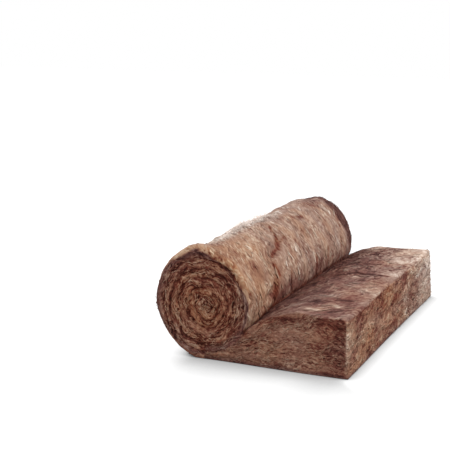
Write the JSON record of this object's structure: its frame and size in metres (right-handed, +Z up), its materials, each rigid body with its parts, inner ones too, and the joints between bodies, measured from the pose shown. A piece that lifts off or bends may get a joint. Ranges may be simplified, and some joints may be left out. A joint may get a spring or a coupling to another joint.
{
  "type": "mineral wool insulation roll",
  "caption": "Roll of brown mineral wool insulation lying on its side, part unrolled, with a thick flat tail that ends in a square cut and spiral turns on both ends.",
  "frame": {"origin": "on the floor, under the middle of the bounding box", "axes": "+Y along the roll's axis, away from the front end; +X from the roll along the unrolled tail; +Z up"},
  "size_m": [0.7442, 1.2, 0.4126],
  "materials": {
    "wool": "rough, fibrous, matt"
  },
  "bodies": {
    "root": {"wool_mat": "wool"}
  },
  "joints": []
}
